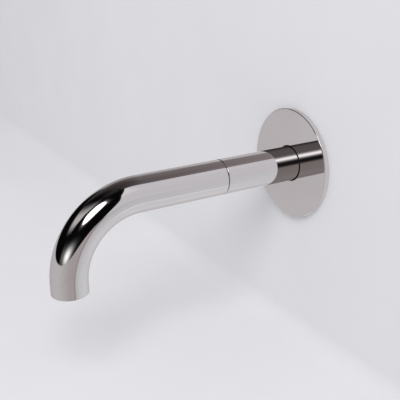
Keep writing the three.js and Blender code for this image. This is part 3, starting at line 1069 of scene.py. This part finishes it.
# The floor once round the horizon: 0 and 1 face the wall, and 0.5 faces away from it. Just past 0.75 there is
# a thin darker line, where the wall begins.
FLOOR_LIGHTS = [
    (0.00, (1.30, 1.38, 1.42)),
    (0.25, (1.18, 1.22, 1.25)),
    (0.31, (1.15, 1.18, 1.20)),
    (0.34, (1.03, 1.05, 1.07)),
    (0.52, (1.01, 1.04, 1.04)),
    (0.60, (0.90, 0.91, 0.91)),
    (0.68, (0.79, 0.76, 0.77)),
    (0.762, (0.77, 0.73, 0.74)),
    (0.768, (0.58, 0.56, 0.57)),
    (0.777, (0.58, 0.56, 0.57)),
    (0.784, (0.95, 0.97, 0.99)),
    (0.81, (1.06, 1.12, 1.15)),
    (0.86, (1.16, 1.25, 1.30)),
    (1.00, (1.30, 1.38, 1.42)),
]


def studio(nodes):
    """What the chrome mirrors: a dark room with two soft windows, a pale floor, and the pale wall behind it.

    Azimuth is 0 away from the wall and 90 towards +X, and both angles are in degrees. Wall places are where
    a direction towards the wall would meet it, for an eye one unit in front.
    """
    direction = nodes.add("TexCoord", output="Generated")
    x, y, z = (nodes.add("SeparateXYZ", direction, output=i) for i in range(3))
    azimuth = nodes.math("DEGREES", nodes.math("ARCTAN2", x, nodes.product(y, -1.0)))
    elevation = nodes.math("DEGREES", nodes.math("ARCSINE", z))
    mirrored_before = nodes.math("GREATER_THAN", nodes.add("LightPath", output="Glossy Depth"), 1.5)
    colour = nodes.mix(mirrored_before, dark_room(nodes, azimuth, elevation), room_near_wall(nodes, x, z))
    colour = wall_side(nodes, colour, azimuth, elevation, x, y, z)
    colour = pale_floor(nodes, colour, azimuth, elevation, y)
    streaks = nodes.noise(nodes.stretched(direction, (7, 7, 16)), 1.0, 3.0)
    return nodes.darker(colour, nodes.linear(streaks, 0.3, 0.7, 0.96, 1.04))


def bell(nodes, value, centre, width):
    """1 where the value is at the centre, and softly less on both sides."""
    off = nodes.over(nodes.minus(value, centre), width)
    return nodes.math("EXPONENT", nodes.product(off, off, -0.5))


def spot(nodes, azimuth, elevation, centre, width):
    """A soft round patch, 1 in its middle."""
    across = bell(nodes, azimuth, centre[0], width[0])
    return nodes.product(across, bell(nodes, elevation, centre[1], width[1]))


def dark_room(nodes, azimuth, elevation):
    """The half away from the wall: near black, with a bright window, a grey one and glows on the horizon."""
    colour = nodes.mix(nodes.smooth(elevation, 66, 94), rgb(0.005), rgb(CEILING))
    colour = nodes.lighter(colour, bright_window(nodes, azimuth, elevation))
    bridge = nodes.product(spot(nodes, azimuth, elevation, centre=(24, 61), width=(8, 4)), 0.12)
    colour = nodes.lighter(colour, nodes.math("MAXIMUM", grey_window(nodes, azimuth, elevation), bridge))
    leaning = nodes.plus(azimuth, nodes.linear(elevation, 3, 15, 0, 4.5))
    glow = spot(nodes, leaning, elevation, centre=(34.5, 3.2), width=(10.3, 5.3))
    colour = nodes.lighter(colour, nodes.mix(glow, rgb(0.0), rgb(HORIZON_GLOW)))
    faint = nodes.product(spot(nodes, azimuth, elevation, centre=(5.5, 5), width=(3.5, 6)), 0.2)
    return nodes.lighter(colour, faint)


def room_near_wall(nodes, x, z):
    """The dark room as the flange and the tube show it to each other.

    Both windows look one above the other there, and the bright one stands further round. A place in the room
    is its angle up from +X.
    """
    angle = nodes.math("DEGREES", nodes.math("ARCTAN2", z, x))
    window = bell(nodes, angle, centre=54, width=8.3)
    dim = nodes.product(nodes.smooth(angle, 30, 60), nodes.smooth(angle, 130, 160, 1, 0.3), 0.4)
    glow = nodes.product(bell(nodes, angle, centre=-4, width=6.5), 0.75)
    low = nodes.plus(nodes.plus(dim, glow), 0.03)
    return nodes.lighter(nodes.mix(window, rgb(0.0), rgb(WINDOW_NEAR_WALL)), low)


def grey_window(nodes, azimuth, elevation):
    """A dim window, brightest along a line that rises to the right, with a blunt point on its left side."""
    left_part = nodes.math("MINIMUM", azimuth, 0.0)
    tilted = nodes.minus(elevation, nodes.linear(left_part, -25, 0, 0, 8))
    level = nodes.product(nodes.smooth(tilted, 18, 37), nodes.smooth(tilted, 38, 66, 1, 0))
    above_point = nodes.minus(elevation, 42)
    lean = nodes.math("MAXIMUM", nodes.product(above_point, 0.8), nodes.product(above_point, -1.7))
    inside = nodes.minus(nodes.plus(azimuth, 58), lean)
    width = nodes.linear(elevation, 38, 46, 26, 36)
    left = nodes.smooth(nodes.over(inside, width), 0, 1)
    slant = nodes.plus(nodes.linear(elevation, 37, 45, 0, 3.8), nodes.linear(elevation, 50, 62, 0, 13))
    right = nodes.smooth(nodes.minus(azimuth, slant), 1.5, 7.5, 1, 0)
    return nodes.product(level, left, right)


def bright_window(nodes, azimuth, elevation):
    """A rounded window, wider towards its top, with a halo that dies away round it."""
    middle_up, half_height, squareness = 45.8, 13.6, 2.6
    halo_start, halo_fall, halo_light = 1.1, -8.3, 0.45
    centre = nodes.linear(elevation, 32, 52, 52.5, 52.3)
    half = nodes.minus(nodes.linear(elevation, 32, 48, 15, 21.5), nodes.linear(elevation, 48, 60, 0, 5))
    across = nodes.math("ABSOLUTE", nodes.over(nodes.minus(azimuth, centre), half))
    up = nodes.math("ABSOLUTE", nodes.over(nodes.minus(elevation, middle_up), half_height))
    size = nodes.plus(nodes.math("POWER", across, squareness), nodes.math("POWER", up, squareness))
    size = nodes.math("POWER", size, 1 / squareness)
    beyond = nodes.math("MAXIMUM", nodes.minus(size, halo_start), 0.0)
    halo = nodes.math("EXPONENT", nodes.product(beyond, halo_fall))
    pane = nodes.mix(nodes.smooth(size, 0.84, 1.14, 1, 0), rgb(0.0), rgb(WINDOW_PANE))
    return nodes.lighter(pane, nodes.product(halo, halo_light))


def wall_side(nodes, room, azimuth, elevation, x, y, z):
    """The half towards the wall: light below a slanting edge, and a warm grey above it."""
    depth = nodes.math("MAXIMUM", y, 0.0001)
    wall_x, wall_z = nodes.over(x, depth), nodes.over(z, depth)
    left_edge = nodes.plus(nodes.product(wall_x, 0.25), 1.0)
    right_edge = nodes.minus(nodes.product(wall_x, 4.1), 0.43)
    edge = nodes.math("MINIMUM", nodes.math("MAXIMUM", left_edge, right_edge), 7.75)
    above_edge = nodes.smooth(nodes.minus(wall_z, edge), -0.02, 0.05)
    grey = wall_grey(nodes, azimuth, elevation, wall_z)
    brighter = nodes.product(nodes.smooth(elevation, 25, 55), nodes.smooth(azimuth, 104, 130, 1, 0.1))
    lit = nodes.mix(brighter, rgb(LIT_WALL), rgb(LIT_WALL_ABOVE))
    light = nodes.mix(nodes.smooth(wall_x, 0.0, 0.35), grey, lit)
    return nodes.mix(wall_share(nodes, azimuth, elevation), room, nodes.mix(above_edge, light, grey))


def wall_grey(nodes, azimuth, elevation, wall_z):
    """The grey of the wall side, which darkens upwards, and differs left and right of the wall's middle."""
    grey = nodes.ramp(nodes.linear(elevation, 0, 90), WALL_GREYS)
    higher_up = nodes.linear(elevation, 57, 81, 0, 0.5)
    far_left = nodes.plus(nodes.linear(elevation, 30, 40, 0.75, 0.24), higher_up)
    left = nodes.darker(grey, nodes.smooth(azimuth, -180, -90, 1, far_left))
    low_left = nodes.product(nodes.smooth(wall_z, 0.8, 1.2, 1, 0), nodes.smooth(azimuth, -125, -108, 1, 0))
    left = nodes.mix(low_left, left, rgb(LIT_WALL))
    right = nodes.darker(grey, nodes.smooth(azimuth, 100, 130, 0.1, 1))
    return nodes.mix(nodes.smooth(azimuth, -0.5, 0.5), left, right)


def wall_share(nodes, azimuth, elevation):
    """How much of the wall side shows. It ends in a bow on the right. On the left it ends sharply, and fades
    out where it is higher up.
    """
    bow = nodes.minus(nodes.linear(elevation, 25, 45, 0, 1.2), nodes.linear(elevation, 50, 62, 0, 2.2))
    right = nodes.smooth(nodes.plus(azimuth, bow), 97.8, 99.2)
    cut_off = nodes.smooth(azimuth, -93, -91, 1, 0)
    fade = nodes.smooth(azimuth, -100, -50, 1, 0)
    left = nodes.mix(nodes.smooth(elevation, 32, 40), cut_off, fade)
    return nodes.math("MAXIMUM", right, left)


def pale_floor(nodes, above, azimuth, elevation, y):
    """The floor, which differs a little round the horizon, with a faint streak on its right by the wall."""
    floor = nodes.ramp(nodes.linear(azimuth, -180, 180), FLOOR_LIGHTS)
    streak = nodes.product(bell(nodes, elevation, centre=-40, width=2), 0.24)
    extra = nodes.plus(streak, nodes.smooth(elevation, -42, -34, 0.05, 0))
    extra = nodes.product(extra, nodes.smooth(y, 0.49, 0.55, 1, 0.1))
    floor = nodes.mix(nodes.smooth(azimuth, 100, 112), floor, nodes.lighter(floor, extra))
    horizon = nodes.linear(azimuth, -80, 20, 0.2, -3.8)
    return nodes.mix(nodes.smooth(nodes.minus(elevation, horizon), -0.7, 0.7), floor, above)


def surroundings():
    """The mirrored studio for gloss, a plain pale backdrop for the camera, and even light for the rest."""
    world = bpy.data.worlds.new("Studio")
    bpy.context.scene.world = world
    world.use_nodes = True
    nodes = Nodes(world.node_tree)
    mirrored = studio(nodes)
    seen, glossy = (nodes.add("LightPath", output=ray) for ray in ("Is Camera Ray", "Is Glossy Ray"))
    colour = nodes.mix(seen, rgb((0.66, 0.66, 0.68)), rgb((0.69, 0.69, 0.71)))
    colour = nodes.mix(glossy, colour, mirrored)
    background = nodes.add("Background", colour)
    nodes.add("OutputWorld", background)
    world.cycles.sampling_method = "NONE"


def backdrop_finish():
    """Pale plaster that only shows from its front, so that views from behind look through it."""
    material, nodes, place = new_finish("Pale plaster")
    mottle = nodes.noise(place, 9.0, 4.0, 0.6)
    grain = nodes.noise(place, 160.0, 3.0)
    colour = nodes.mix(mottle, rgb((0.80, 0.80, 0.82)), rgb((0.86, 0.86, 0.88)))
    bump = nodes.add("Bump", 0.4, 0.4 * MM)
    nodes.put(bump.node.inputs["Height"], nodes.plus(mottle, nodes.product(grain, 0.1)))
    front = nodes.add("BsdfDiffuse", colour, 0.5, bump)
    back = nodes.add("BsdfTransparent")
    backfacing = nodes.add("NewGeometry", output="Backfacing")
    nodes.add("OutputMaterial", nodes.add("MixShader", backfacing, front, back))
    return material


def hide_from(obj, *rays):
    for ray in rays:
        setattr(obj, "visible_" + ray, False)


def backdrop():
    """A plain wall behind the flange that curves into a plain floor, which also runs on behind the wall."""
    floor_z, wall_y, cove, spread, top = -134.5, 0.2, 14.0, 4000.0, 2500.0
    path = [(wall_y, top)]
    for angle in np.linspace(0, math.pi / 2, 13):
        path.append((wall_y - cove + cove * math.cos(angle), floor_z + cove - cove * math.sin(angle)))
    wall_foot = 2 * (len(path) - 1)
    path.append((-spread, floor_z))
    faces = [[2 * i, 2 * i + 2, 2 * i + 3, 2 * i + 1] for i in range(len(path) - 1)]
    behind = 2 * len(path)
    path.append((spread, floor_z))
    faces.append([behind, wall_foot, wall_foot + 1, behind + 1])
    points = [np.array((side, y, z)) for y, z in path for side in (-spread, spread)]
    sheet = mesh_object("backdrop", points, faces)
    shade(sheet)
    sheet.data.materials.append(backdrop_finish())
    hide_from(sheet, "diffuse", "glossy", "transmission", "volume_scatter", "shadow")


def glowing_wall_reflection():
    """A glowing ring that paints the lit wall's reflection just round the flange. Only the chrome sees it,
    close by, as it does the real wall.
    """
    inner, outer, wall_y, fade = TUBE_R + 1, radius("wall_flange") + 7, 0.15, 3
    points = [np.array((x, wall_y, z)) for size in (inner, outer) for x, z in polygon(COARSE, size)]
    faces = [[i, (i + 1) % COARSE, COARSE + (i + 1) % COARSE, COARSE + i] for i in range(COARSE)]
    sheet = mesh_object("glowing_wall_reflection", points, faces)
    shade(sheet)
    material, nodes, place = new_finish("Glowing wall reflection")
    away, _ = away_and_along(nodes, place)
    share = nodes.smooth(away, (outer - fade) * MM, outer * MM, 1, 0)
    # Painted reflection: the ring glows with the lit wall's light, though it is no lamp.
    light = nodes.add("Emission", rgb(LIT_WALL))
    clear = nodes.add("BsdfTransparent")
    nodes.add("OutputMaterial", nodes.add("MixShader", share, clear, light))
    sheet.data.materials.append(material)
    hide_from(sheet, "camera", "diffuse", "transmission", "volume_scatter", "shadow")


def towards(azimuth, elevation):
    """The direction from the object to something, with azimuth 0 away from the wall and 90 towards +X."""
    azimuth, elevation = math.radians(azimuth), math.radians(elevation)
    level = math.cos(elevation)
    return Vector((math.sin(azimuth) * level, -math.cos(azimuth) * level, math.sin(elevation)))


def soft_light(name, azimuth, elevation, distance, size, power):
    """A square lamp that looks at the tube. It isn't mirrored, because the studio already has its windows."""
    lamp = bpy.data.lights.new(name, "AREA")
    lamp.size = size * MM
    lamp.energy = power
    obj = add_object(name, lamp)
    back = towards(azimuth, elevation)
    obj.location = (Vector((0, -REACH / 2, 0)) + back * distance) * MM
    obj.rotation_euler = back.to_track_quat("Z", "Y").to_euler()
    obj.visible_glossy = False


def camera():
    """The photograph's viewpoint: its direction, its distance and the point at the frame's middle."""
    azimuth, elevation, roll = 58.93, 20.6, math.radians(-0.345)
    aim, distance = Vector((0, -79.8, -13.7)), 492.8
    back = towards(azimuth, elevation)
    level = towards(azimuth + 90, 0)
    upright = back.cross(level)
    right = level * math.cos(roll) + upright * math.sin(roll)
    up = back.cross(right)
    lens = bpy.data.cameras.new("camera")
    lens.lens = 64.67
    lens.sensor_width = 36
    lens.clip_start = 0.01
    obj = add_object("camera", lens)
    turn = Matrix((right, up, back)).transposed().to_4x4()
    obj.matrix_world = Matrix.Translation((aim + back * distance) * MM) @ turn
    bpy.context.scene.camera = obj


surroundings()
backdrop()
glowing_wall_reflection()
soft_light("window_light", azimuth=53, elevation=46, distance=1300, size=650, power=6.5)
camera()
bpy.context.scene.view_settings.view_transform = "Standard"
